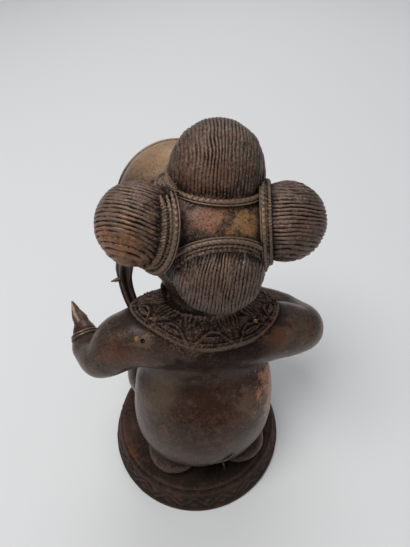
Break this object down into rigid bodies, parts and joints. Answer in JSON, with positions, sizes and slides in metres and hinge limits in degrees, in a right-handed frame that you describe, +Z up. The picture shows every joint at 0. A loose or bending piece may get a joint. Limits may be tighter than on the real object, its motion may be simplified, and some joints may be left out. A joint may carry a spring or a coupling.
{
  "type": "seated female figure",
  "caption": "Seated female figure on a round base, cast in dark patinated bronze, with ribbed hair buns in a cross, a decorated collar and a hanging lock.",
  "frame": {"origin": "centre of the round base's flat underside", "axes": "+Z up, the figure faces -Y, its own left is +X"},
  "size_m": [0.2476, 0.2, 0.3879],
  "materials": {
    "bronze": "cast copper alloy with a dark brown patina, worn to a reddish and golden sheen on the high places"
  },
  "bodies": {
    "root": {"seated_figure": "bronze"}
  },
  "joints": []
}
